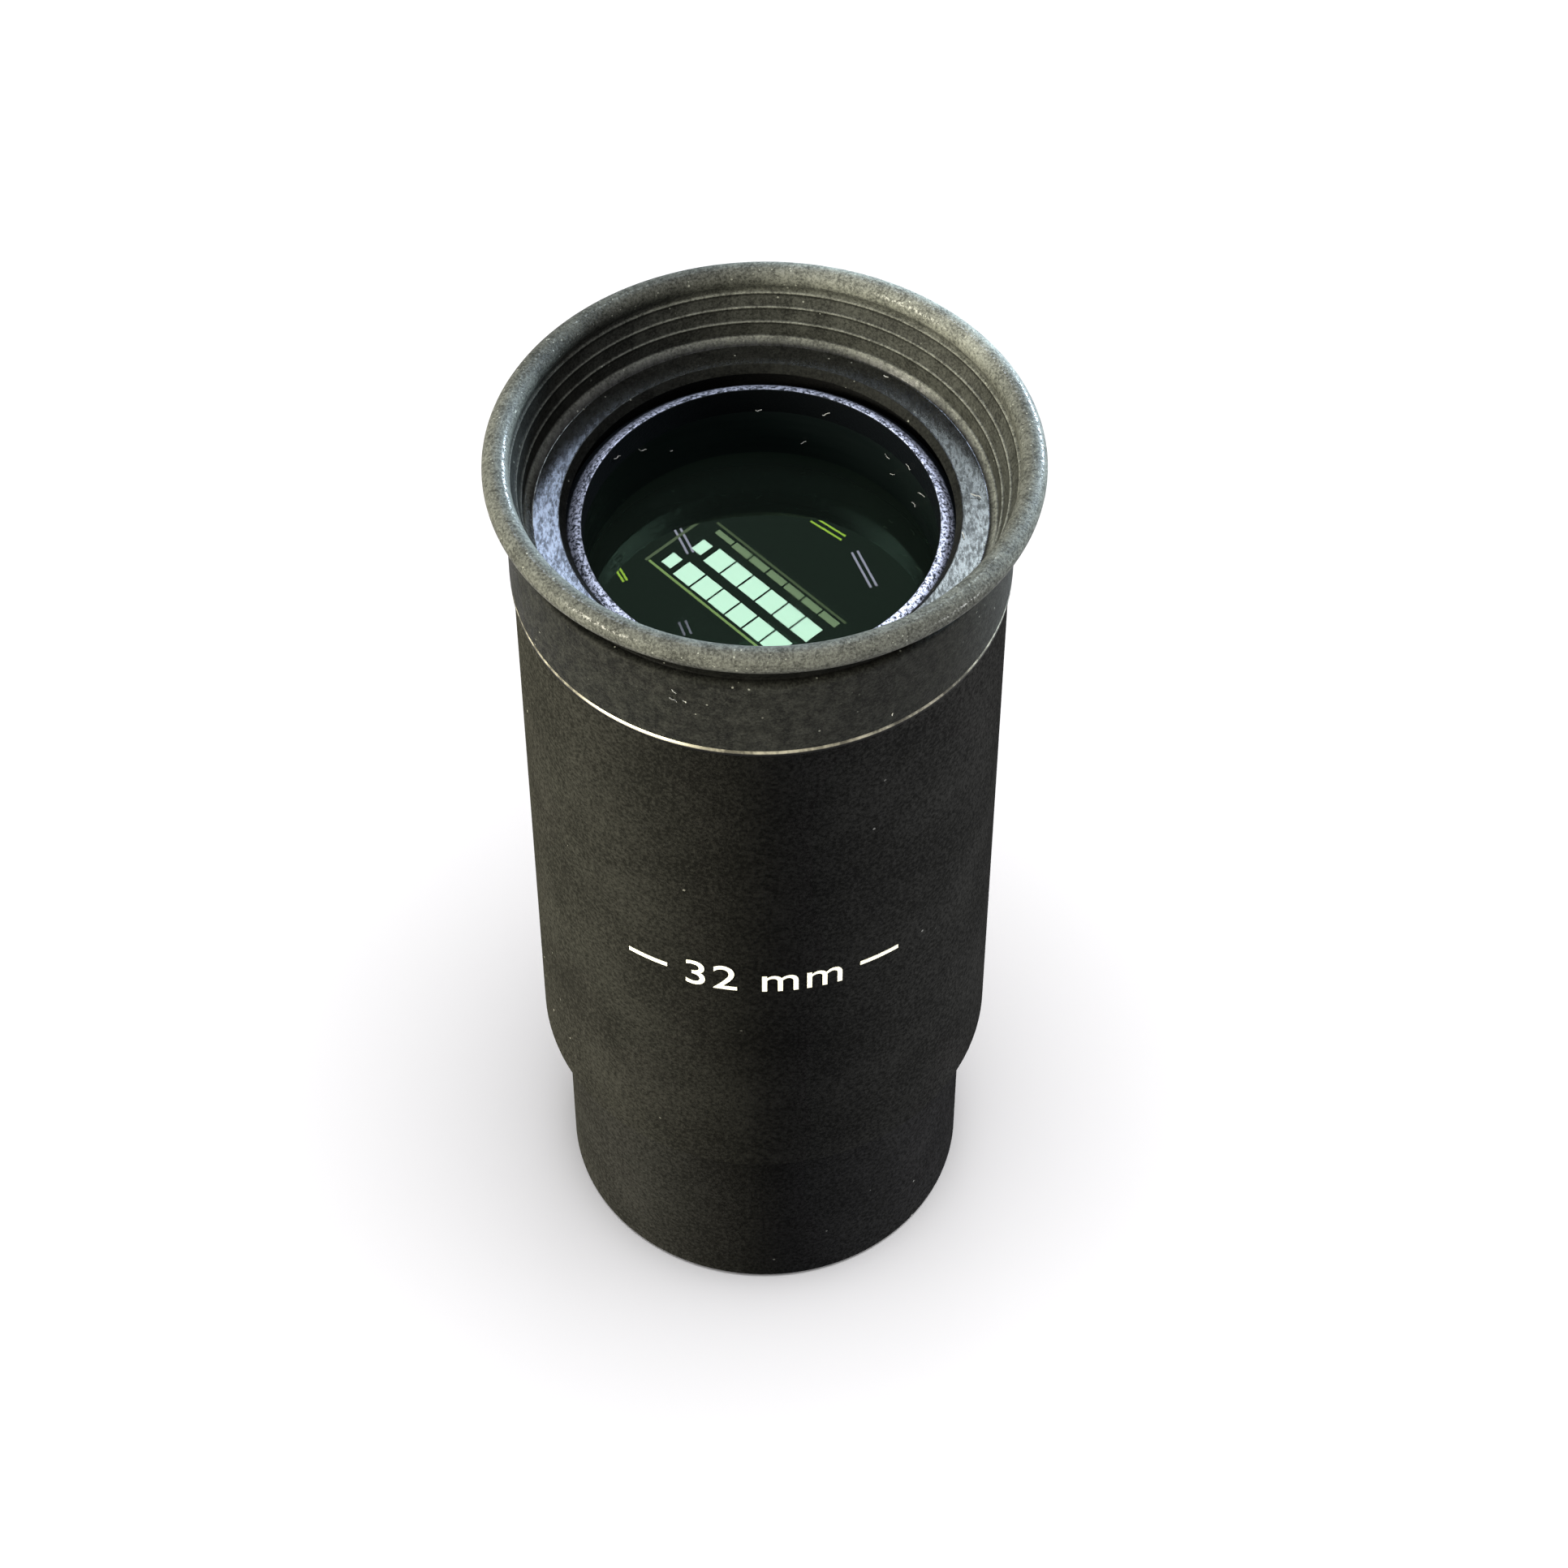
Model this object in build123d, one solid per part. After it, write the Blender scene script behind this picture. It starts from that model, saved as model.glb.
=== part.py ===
from build123d import *
import math
import os

# Telescope eyepiece, 32 mm focal length, standing on its nosepiece.
# The origin is on the optical axis at the nosepiece's lower end, and +Z points to the eye. Millimetres.

os.makedirs("parts", exist_ok=True)

# ---- driving dimensions ----
NOSE_R = 15.875            # 1.25 inch push-fit barrel
NOSE_LENGTH = 19.3         # what goes into the focuser, up to the body's step
BODY_R = 17.59
BODY_TOP = 70.5
FLANGE_R = 17.8            # the thin flange of the cap, just proud of the body
FLANGE_T = 0.6
NECK_R = 16.0              # the eyecup grips this
NECK_TOP = 75.25
EYE_BORE_R = 12.57         # clear opening above the eye lens
LENS_R = 13.35
LENS_SEAT_Z = 68.3         # the eye lens's outer face
RIM_Z = 81.4               # middle of the eyecup's rolled lip
RIM_R = 18.6
RIM_BEAD_R = 0.95
HORN_ROOT_Z = 77.9         # where the collar ends and the thin horn starts

# ---- fits ----
SLIP = 0.05                # radial clearance of every screwed or sliding fit
LIFT = 0.03                # axial clearance between rubber and metal
EDGE = 0.15                # broken edge on turned parts

# ---- walls and threads (threads are plain cylinders at their working radius) ----
FILTER_THREAD_R = 14.25    # M28.5 x 0.6 filter thread
FILTER_THREAD_TOP = 4.8
NOSE_BORE_R = 13.95
REGISTER = 0.6             # the nosepiece seats this deep inside the body's lower end
RELIEF = 0.2               # and is turned down this much there
SPIGOT_R = 15.0            # M30 x 1 joint between nosepiece and body
SPIGOT_ROOT_R = 14.7
SPIGOT_PILOT = 0.8         # unthreaded length next to the shoulder
SPIGOT_THREAD = 4.0
SPIGOT_TOP = 28.1
STOP_SEAT_Z = 25.6
STOP_R = 14.3
STOP_OPENING_R = 13.4      # 27 mm field stop
BODY_BORE_R = 16.0
CAP_THREAD_R = 16.25
CAP_SKIRT_BOTTOM = 64.3
CELL_R = 14.15
CELL_THREAD_R = 14.85
CELL_FLANGE_TOP = 66.0
CELL_FLANGE_BOTTOM = 63.5
CELL_BOTTOM = 45.2
BEZEL_BOTTOM = 72.6        # the grey ring round the eye opening sits on the cell
BEZEL_TOP = 74.92

# ---- optics, from the eye down ----
FLINT_CENTRE = 1.8
CEMENT_RADIUS = 35.0
CROWN_RADIUS = 27.0
CROWN_EDGE = 1.5
VERTEX_GAP = 0.5           # air between the two facing crowns
SPACER_WALL = 0.7
SEAT_GAP = 0.005           # the spacer's coned ends bear on the curved glass
RETAINER_T = 2.4
RETAINER_OPENING_R = 12.2

# ---- eyecup ----
COLLAR_R = 17.8
COLLAR_ROUND = 0.4
FLOOR_T = 0.75
FLOOR_INNER_R = 13.61
FLOOR_OUTER_R = 15.91
STEPS = [(16.42, 76.36), (16.66, 77.77), (17.06, 79.09), (17.55, 80.27)]
STEP_DEPTH = 0.16
HORN_ROOT_R = 17.15


def sag(radius, at):
    """Depth of a spherical surface at a distance from its axis."""
    return radius - math.sqrt(radius ** 2 - at ** 2)


def turned(points):
    """A solid of revolution about Z from a closed outline of (radius, height) points."""
    with BuildPart() as solid:
        with BuildSketch(Plane.XZ):
            with BuildLine():
                Polyline(*points, close=True)
            make_face()
        revolve(axis=Axis.Z)
    return solid.part


def lens(top_edge, top_bulge, bottom_edge, bottom_bulge):
    """A round lens between two edge heights. A bulge is the centre's height above that face's edge."""
    with BuildPart() as solid:
        with BuildSketch(Plane.XZ):
            with BuildLine():
                face_line(top_edge, top_bulge)
                Line((LENS_R, top_edge), (LENS_R, bottom_edge))
                face_line(bottom_edge, bottom_bulge)
                Line((0, bottom_edge + bottom_bulge), (0, top_edge + top_bulge))
            make_face()
        revolve(axis=Axis.Z)
    return solid.part


def face_line(edge, bulge):
    """One lens face in section, from the axis out to the rim, flat if it has no bulge."""
    if bulge == 0:
        Line((0, edge), (LENS_R, edge))
        return
    radius = (LENS_R ** 2 + bulge ** 2) / (2 * abs(bulge))
    side = math.copysign(1, bulge)
    middle_r = LENS_R / 2
    middle_z = edge + bulge - side * sag(radius, middle_r)
    ThreePointArc((0, edge + bulge), (middle_r, middle_z), (LENS_R, edge))


def slotted(ring, radius, face_z, depth):
    """Cuts two spanner slots across a ring's face."""
    for side in (-1, 1):
        slot = Pos(side * radius, 0, face_z) * Box(3.0, 1.4, 2 * depth)
        ring = ring - slot
    return ring


def save(shape, name):
    shape.label = name
    export_step(shape, f"parts/{name}.step")


def nosepiece_barrel():
    shoulder = NOSE_LENGTH + REGISTER
    thread_bottom = shoulder + SPIGOT_PILOT
    thread_top = thread_bottom + SPIGOT_THREAD
    return turned([
        (FILTER_THREAD_R + 0.4, 0),
        (NOSE_R - 0.4, 0),
        (NOSE_R, 0.4),
        (NOSE_R, NOSE_LENGTH - RELIEF),
        (NOSE_R - RELIEF, NOSE_LENGTH),
        (NOSE_R - RELIEF, shoulder),
        (SPIGOT_R, shoulder),
        (SPIGOT_R, thread_bottom),
        (SPIGOT_ROOT_R, thread_bottom + EDGE),
        (SPIGOT_ROOT_R, thread_top),
        (SPIGOT_R - 0.1, thread_top + EDGE),
        (SPIGOT_R - 0.1, SPIGOT_TOP - EDGE),
        (SPIGOT_R - 0.1 - EDGE, SPIGOT_TOP),
        (STOP_R + SLIP, SPIGOT_TOP),
        (STOP_R + SLIP, STOP_SEAT_Z),
        (NOSE_BORE_R, STOP_SEAT_Z),
        (NOSE_BORE_R, FILTER_THREAD_TOP),
        (FILTER_THREAD_R, FILTER_THREAD_TOP),
        (FILTER_THREAD_R, 0.4),
    ])


def field_stop_ring():
    """A thin-lipped ring in the top of the nosepiece, slotted on its upper face."""
    top = SPIGOT_TOP - 0.3
    ring = turned([
        (STOP_R, STOP_SEAT_Z),
        (STOP_R, top),
        (STOP_OPENING_R + 0.35, top),
        (STOP_OPENING_R, STOP_SEAT_Z + 0.5),
        (STOP_OPENING_R, STOP_SEAT_Z),
    ])
    return slotted(ring, STOP_R, top, 0.6)


def body_tube():
    shoulder = NOSE_LENGTH + REGISTER
    bore_start = shoulder + SPIGOT_PILOT + SPIGOT_THREAD + 0.5
    thread_start = CAP_SKIRT_BOTTOM - 0.5
    return turned([
        (NOSE_R + SLIP, shoulder),
        (NOSE_R + SLIP, NOSE_LENGTH),
        (BODY_R - EDGE, NOSE_LENGTH),
        (BODY_R, NOSE_LENGTH + EDGE),
        (BODY_R, BODY_TOP - EDGE),
        (BODY_R - EDGE, BODY_TOP),
        (CAP_THREAD_R, BODY_TOP),
        (CAP_THREAD_R, thread_start),
        (BODY_BORE_R, thread_start),
        (BODY_BORE_R, bore_start),
        (SPIGOT_R + SLIP, bore_start),
        (SPIGOT_R + SLIP, shoulder),
    ])


def eye_end_cap():
    """The neck under the eyecup, its flange, and the threaded skirt that goes down into the body tube."""
    flange_top = BODY_TOP + FLANGE_T
    skirt_r = CAP_THREAD_R - SLIP
    bore_r = CELL_R + SLIP
    return turned([
        (CELL_THREAD_R + SLIP, CAP_SKIRT_BOTTOM),
        (skirt_r - EDGE, CAP_SKIRT_BOTTOM),
        (skirt_r, CAP_SKIRT_BOTTOM + EDGE),
        (skirt_r, BODY_TOP),
        (FLANGE_R - EDGE, BODY_TOP),
        (FLANGE_R, BODY_TOP + EDGE),
        (FLANGE_R, flange_top - EDGE),
        (FLANGE_R - EDGE, flange_top),
        (NECK_R, flange_top),
        (NECK_R, NECK_TOP - 0.3),
        (NECK_R - 0.3, NECK_TOP),
        (bore_r + 0.55, NECK_TOP),
        (bore_r, NECK_TOP - 1.6),
        (bore_r, CELL_FLANGE_TOP),
        (CELL_THREAD_R + SLIP, CELL_FLANGE_TOP),
    ])


def lens_cell():
    """The sleeve round the lenses, with the seat that the eye lens is pressed up against."""
    bore_r = LENS_R + SLIP
    return turned([
        (EYE_BORE_R, LENS_SEAT_Z),
        (EYE_BORE_R, BEZEL_BOTTOM),
        (CELL_R, BEZEL_BOTTOM),
        (CELL_R, CELL_FLANGE_TOP),
        (CELL_THREAD_R, CELL_FLANGE_TOP),
        (CELL_THREAD_R, CELL_FLANGE_BOTTOM),
        (CELL_R, CELL_FLANGE_BOTTOM),
        (CELL_R, CELL_BOTTOM),
        (bore_r, CELL_BOTTOM),
        (bore_r, LENS_SEAT_Z),
    ])


def eye_bezel_ring():
    """The domed ring round the eye opening, screwed into the cap on top of the lens cell."""
    return turned([
        (EYE_BORE_R, BEZEL_BOTTOM),
        (EYE_BORE_R, BEZEL_TOP - 0.08),
        (EYE_BORE_R + 0.1, BEZEL_TOP),
        (EYE_BORE_R + 0.45, BEZEL_TOP - 0.12),
        (CELL_R - 0.11, BEZEL_TOP - 0.97),
        (CELL_R, BEZEL_TOP - 1.12),
        (CELL_R, BEZEL_BOTTOM),
    ])


def ring_between(bottom, top, inner_r, outer_r, cone=0):
    """A plain ring. Its two ends can be coned, lower at the inner edge by this much, to seat on convex glass."""
    return turned([(inner_r, bottom + cone), (outer_r, bottom), (outer_r, top), (inner_r, top - cone)])


def optics():
    """The glass and the rings between, from the eye down, as a dictionary of name to solid."""
    cement = sag(CEMENT_RADIUS, LENS_R)
    crown = sag(CROWN_RADIUS, LENS_R)
    flint_edge = FLINT_CENTRE + cement
    z1 = LENS_SEAT_Z
    z2 = z1 - flint_edge
    z3 = z2 - CROWN_EDGE
    z4 = z3 - 2 * crown - VERTEX_GAP
    z5 = z4 - CROWN_EDGE
    z6 = z5 - flint_edge
    retainer = ring_between(z6 - RETAINER_T, z6, RETAINER_OPENING_R, LENS_R)
    spacer_r = LENS_R - SPACER_WALL
    cone = crown - sag(CROWN_RADIUS, spacer_r)
    spacer = ring_between(z4 + SEAT_GAP, z3 - SEAT_GAP, spacer_r, LENS_R, cone)
    return {
        "eye_flint_lens": lens(z1, 0, z2, cement),
        "eye_crown_lens": lens(z2, cement, z3, -crown),
        "doublet_spacer": spacer,
        "field_crown_lens": lens(z4, crown, z5, -cement),
        "field_flint_lens": lens(z5, -cement, z6, 0),
        "lens_retaining_ring": slotted(retainer, LENS_R - 0.4, z6 - RETAINER_T, 0.8),
    }


def inner_steps(low, high):
    """The stepped inside of the horn, bottom up, for the steps between two heights."""
    points = []
    for radius, height in STEPS:
        if low < height < high:
            points.append((radius, height))
            points.append((radius + STEP_DEPTH, height + 0.06))
    return points


def horn_inner_r():
    """Radius of the horn's inner wall at its root, on the slope between two steps."""
    (r_low, z_low), (r_high, z_high) = STEPS[1], STEPS[2]
    start_r = r_low + STEP_DEPTH
    start_z = z_low + 0.06
    return start_r + (r_high - start_r) * (HORN_ROOT_Z - start_z) / (z_high - start_z)


def eyecup_collar():
    bottom = BODY_TOP + FLANGE_T + LIFT
    floor_bottom = NECK_TOP + LIFT
    floor_top = floor_bottom + FLOOR_T
    outline = [
        (NECK_R + SLIP, bottom),
        (COLLAR_R - EDGE, bottom),
        (COLLAR_R, bottom + EDGE),
        (COLLAR_R, HORN_ROOT_Z - COLLAR_ROUND),
        (COLLAR_R - COLLAR_ROUND, HORN_ROOT_Z),
        (horn_inner_r(), HORN_ROOT_Z),
    ]
    outline += reversed(inner_steps(0, HORN_ROOT_Z))
    outline += [
        (FLOOR_OUTER_R, floor_top - 0.1),
        (FLOOR_INNER_R + 0.45, floor_top),
        (FLOOR_INNER_R, floor_bottom),
        (NECK_R + SLIP, floor_bottom),
    ]
    return turned(outline)


def eyecup_horn():
    """The thin flared wall above the collar and its rolled lip."""
    wall = turned([
        (horn_inner_r(), HORN_ROOT_Z),
        (HORN_ROOT_R, HORN_ROOT_Z),
        (HORN_ROOT_R + 0.1, 78.4),
        (17.7, 79.3),
        (18.2, 80.0),
        (RIM_R, RIM_Z - 0.6),
        (RIM_R, RIM_Z + 0.6),
        (RIM_R - 0.7, RIM_Z),
        *reversed(inner_steps(HORN_ROOT_Z, RIM_Z)),
    ])
    with BuildPart() as bead:
        with BuildSketch(Plane.XZ):
            with Locations((RIM_R, RIM_Z)):
                Circle(RIM_BEAD_R)
        revolve(axis=Axis.Z)
    return wall + bead.part


save(nosepiece_barrel(), "nosepiece_barrel")
save(field_stop_ring(), "field_stop_ring")
save(body_tube(), "body_tube")
save(eye_end_cap(), "eye_end_cap")
save(lens_cell(), "lens_cell")
save(eye_bezel_ring(), "eye_bezel_ring")
for name, solid in optics().items():
    save(solid, name)
save(eyecup_collar(), "eyecup_collar")
save(eyecup_horn(), "eyecup_horn")
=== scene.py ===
import math
import random

import bmesh
import bpy
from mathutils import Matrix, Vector


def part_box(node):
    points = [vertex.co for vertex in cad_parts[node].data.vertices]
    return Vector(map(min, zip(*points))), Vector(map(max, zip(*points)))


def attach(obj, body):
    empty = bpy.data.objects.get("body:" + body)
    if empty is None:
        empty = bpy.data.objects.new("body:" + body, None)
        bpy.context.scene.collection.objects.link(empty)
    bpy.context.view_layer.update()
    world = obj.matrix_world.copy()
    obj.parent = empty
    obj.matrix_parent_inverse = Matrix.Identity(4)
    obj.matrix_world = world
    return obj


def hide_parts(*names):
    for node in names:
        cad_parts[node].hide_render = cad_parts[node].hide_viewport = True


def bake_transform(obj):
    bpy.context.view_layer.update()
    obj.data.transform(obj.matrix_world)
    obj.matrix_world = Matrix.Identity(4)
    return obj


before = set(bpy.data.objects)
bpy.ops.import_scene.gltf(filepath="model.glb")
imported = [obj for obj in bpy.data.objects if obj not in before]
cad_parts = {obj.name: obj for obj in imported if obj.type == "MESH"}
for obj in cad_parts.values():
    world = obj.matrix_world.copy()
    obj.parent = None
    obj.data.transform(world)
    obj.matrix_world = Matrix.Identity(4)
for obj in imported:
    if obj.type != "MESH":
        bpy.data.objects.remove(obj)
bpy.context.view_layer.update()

# ---- sizes, in millimetres unless a name says otherwise ----
MM = 0.001
BODY_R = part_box("body_tube")[1].x / MM
BODY_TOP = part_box("body_tube")[1].z / MM
FLANGE_THICKNESS = 0.6
FLANGE_TOP = BODY_TOP + FLANGE_THICKNESS
RUBBER_GAP = 0.04              # between the eyecup and the metal that it sits on
NECK_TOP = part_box("eye_end_cap")[1].z / MM
LENS_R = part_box("eye_flint_lens")[1].x / MM
FILTER_THREAD_R = 14.25
BEZEL_BORE_R = 12.57
ROUND_SEGMENTS = 288
LAMP_HEIGHT = 420.0            # of the small lamps that the eye lens mirrors

# Places round the axis, in degrees from -Y towards +X.
# Where the rolled lip is palest and where it is darkest.
LIP_PALEST = 143
LIP_DARKEST = 217
# Where the bezel ring's colour carries painted light, and where painted shade.
BEZEL_PAINTED_LIGHT = 75
BEZEL_PAINTED_SHADE = 180
# Where the flange's rubbed edge carries a painted highlight.
FLANGE_PAINTED_HIGHLIGHT = -29

# The camera, in millimetres and degrees.
CAMERA_BACK = 194.53
CAMERA_UP = 292.21
CAMERA_PITCH = 51.80
CAMERA_YAW = 0.475
CAMERA_LENS = 95.48

random.seed(32)


# ---- small helpers for shapes ----

def new_object(name, mesh, material):
    obj = bpy.data.objects.new(name, mesh)
    bpy.context.scene.collection.objects.link(obj)
    mesh.materials.append(material)
    return obj


def arc(centre, radius, start, end, paleness, count):
    """Points on an arc in the (radius, height) plane, angles in degrees from straight out.

    Paleness is a list spread evenly along the arc.
    """
    points = []
    for i in range(count + 1):
        t = i / count
        a = math.radians(start + (end - start) * t)
        place = t * (len(paleness) - 1)
        low = min(int(place), len(paleness) - 2)
        shade = paleness[low] + (paleness[low + 1] - paleness[low]) * (place - low)
        points.append((centre[0] + radius * math.cos(a), centre[1] + radius * math.sin(a), shade))
    return points


def rounded(corners):
    """A closed outline from (radius, height, rounding, paleness) corners, with each corner rounded off."""
    outline = []
    count = len(corners)
    for i, (r, z, rounding, paleness) in enumerate(corners):
        here = Vector((r, z))
        before = Vector(corners[i - 1][:2]) - here
        after = Vector(corners[(i + 1) % count][:2]) - here
        turn = before.angle(after)
        if rounding <= 0 or turn > math.radians(172):
            outline.append((r, z, paleness))
            continue
        reach = rounding / math.tan(turn / 2)
        reach = min(reach, 0.45 * before.length, 0.45 * after.length)
        start = here + before.normalized() * reach
        end = here + after.normalized() * reach
        steps = 5
        for k in range(steps + 1):
            t = k / steps
            point = (1 - t) ** 2 * start + 2 * t * (1 - t) * here + t ** 2 * end
            outline.append((point.x, point.y, paleness))
    return outline


def keep_places(mesh):
    """Stores where each vertex is before any pose, so that a bending piece's pattern moves with it."""
    place = mesh.attributes.new("rest_place", "FLOAT_VECTOR", "POINT")
    for vertex, stored in zip(mesh.vertices, place.data):
        stored.vector = vertex.co


def lathe(name, outline, material, bend):
    """A closed outline of (radius, height, paleness) points turned about Z, each point then moved by bend.

    The mesh keeps each vertex's place before any pose, and its paleness, as attributes for the material.
    """
    bm = bmesh.new()
    rings = []
    for k in range(ROUND_SEGMENTS):
        a = 2 * math.pi * k / ROUND_SEGMENTS
        ring = []
        for r, z, _ in outline:
            ring.append(bm.verts.new(bend(Vector((r * math.cos(a), r * math.sin(a), z))) * MM))
        rings.append(ring)
    count = len(outline)
    for k in range(ROUND_SEGMENTS):
        this, other = rings[k], rings[(k + 1) % ROUND_SEGMENTS]
        for i in range(count):
            j = (i + 1) % count
            face = bm.faces.new((this[i], other[i], other[j], this[j]))
            face.smooth = True
    bmesh.ops.recalc_face_normals(bm, faces=bm.faces)
    mesh = bpy.data.meshes.new(name)
    bm.to_mesh(mesh)
    bm.free()
    keep_places(mesh)
    pale = mesh.attributes.new("paleness", "FLOAT", "POINT")
    for i in range(len(mesh.vertices)):
        pale.data[i].value = outline[i % count][2]
    return new_object(name, mesh, material)


def smoothstep(low, high, value):
    t = min(1.0, max(0.0, (value - low) / (high - low)))
    return t * t * (3 - 2 * t)


# ---- materials ----

class Shader:
    """A node material with one Principled shader, and short calls for the nodes that it needs."""

    def __init__(self, name, **sockets):
        self.material = bpy.data.materials.new(name)
        self.material.use_nodes = True
        self.tree = self.material.node_tree
        self.shader = self.tree.nodes["Principled BSDF"]
        self.place = self.tree.nodes.new("ShaderNodeTexCoord").outputs["Object"]
        for socket, value in sockets.items():
            self.shader.inputs[socket.replace("_", " ")].default_value = value

    def attribute(self, name, output):
        node = self.tree.nodes.new("ShaderNodeAttribute")
        node.attribute_name = name
        return node.outputs[output]

    def link(self, source, target):
        self.tree.links.new(source, target)

    def feed(self, socket, source):
        self.link(source, self.shader.inputs[socket])

    def noise(self, size_mm, detail=2.0, roughness=0.5, stretch=None):
        """Noise with features about size_mm across, from 0 to 1."""
        node = self.tree.nodes.new("ShaderNodeTexNoise")
        node.inputs["Scale"].default_value = 1 / (size_mm * MM)
        node.inputs["Detail"].default_value = detail
        node.inputs["Roughness"].default_value = roughness
        place = self.place
        if stretch:
            scaled = self.tree.nodes.new("ShaderNodeVectorMath")
            scaled.operation = "MULTIPLY"
            scaled.inputs[1].default_value = stretch
            self.link(place, scaled.inputs[0])
            place = scaled.outputs[0]
        self.link(place, node.inputs["Vector"])
        return node.outputs["Fac"]

    def specks(self, spacing_mm, size):
        """1 in small sparse dots, one at most in each cell of the spacing, 0 elsewhere."""
        cells = self.tree.nodes.new("ShaderNodeTexVoronoi")
        cells.inputs["Scale"].default_value = 1 / (spacing_mm * MM)
        self.link(self.place, cells.inputs["Vector"])
        return self.math("LESS_THAN", cells.outputs["Distance"], size)

    def math(self, operation, a, b=None):
        node = self.tree.nodes.new("ShaderNodeMath")
        node.operation = operation
        for socket, value in zip(node.inputs, (a, b)):
            if value is None:
                continue
            if isinstance(value, (int, float)):
                socket.default_value = value
            else:
                self.link(value, socket)
        return node.outputs[0]

    def spread(self, value, low, high, to_low=0.0, to_high=1.0):
        """Maps low..high to to_low..to_high, and holds it there beyond."""
        node = self.tree.nodes.new("ShaderNodeMapRange")
        node.inputs["From Min"].default_value = low
        node.inputs["From Max"].default_value = high
        node.inputs["To Min"].default_value = to_low
        node.inputs["To Max"].default_value = to_high
        self.link(value, node.inputs["Value"])
        return node.outputs["Result"]

    def mix(self, factor, a, b):
        """A colour between a and b. Each is a colour or a socket."""
        node = self.tree.nodes.new("ShaderNodeMix")
        node.data_type = "RGBA"
        self.link(factor, node.inputs[0])
        for socket, value in ((node.inputs[6], a), (node.inputs[7], b)):
            if isinstance(value, tuple):
                socket.default_value = (*value, 1.0)
            else:
                self.link(value, socket)
        return node.outputs[2]

    def axis(self, name):
        """One coordinate of the point, in millimetres."""
        parts = self.tree.nodes.new("ShaderNodeSeparateXYZ")
        self.link(self.place, parts.inputs[0])
        return self.math("MULTIPLY", parts.outputs[name], 1 / MM)

    def radius(self):
        """Distance from the optical axis, in millimetres."""
        x, y = self.axis("X"), self.axis("Y")
        return self.math("SQRT", self.math("ADD", self.math("MULTIPLY", x, x), self.math("MULTIPLY", y, y)))

    def toward(self, azimuth):
        """1 at this place round the axis, in degrees from -Y towards +X, falling to -1 opposite."""
        a = math.radians(azimuth)
        across = self.math("MULTIPLY", self.axis("X"), math.sin(a))
        along = self.math("MULTIPLY", self.axis("Y"), -math.cos(a))
        return self.math("DIVIDE", self.math("ADD", across, along), self.radius())

    def bump(self, height, distance_mm, strength=1.0):
        node = self.tree.nodes.new("ShaderNodeBump")
        node.inputs["Strength"].default_value = strength
        node.inputs["Distance"].default_value = distance_mm * MM
        self.link(height, node.inputs["Height"])
        self.feed("Normal", node.outputs["Normal"])


def black_coating(name, dark, light, grain_mm, inner_ribs=False):
    """Matt black with a fine powdery grain, faint cloudiness and a few pale specks."""
    s = Shader(name, Specular_IOR_Level=0.0)
    grain = s.noise(grain_mm, 4.0, 0.75)
    cloud = s.noise(7.0, 3.0)
    tone = s.math("ADD", s.math("MULTIPLY", grain, 0.8), s.math("MULTIPLY", cloud, 0.2))
    colour = s.mix(s.spread(tone, 0.42, 0.62), dark, light)
    patch = s.spread(s.noise(9.0), 0.52, 0.62)
    dust = s.math("MULTIPLY", s.specks(2.4, 0.045), patch)
    colour = s.mix(dust, colour, (0.05, 0.05, 0.047))
    s.feed("Base Color", colour)
    s.feed("Roughness", s.spread(cloud, 0.3, 0.7, 0.50, 0.62))
    height = grain
    if inner_ribs:
        ribs = s.math("SINE", s.math("MULTIPLY", s.axis("Z"), 2 * math.pi / 0.6))
        inside = s.math("LESS_THAN", s.radius(), FILTER_THREAD_R - 0.1)
        height = s.math("ADD", grain, s.math("MULTIPLY", ribs, inside))
    s.bump(height, 0.06, 0.9)
    return s.material


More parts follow.
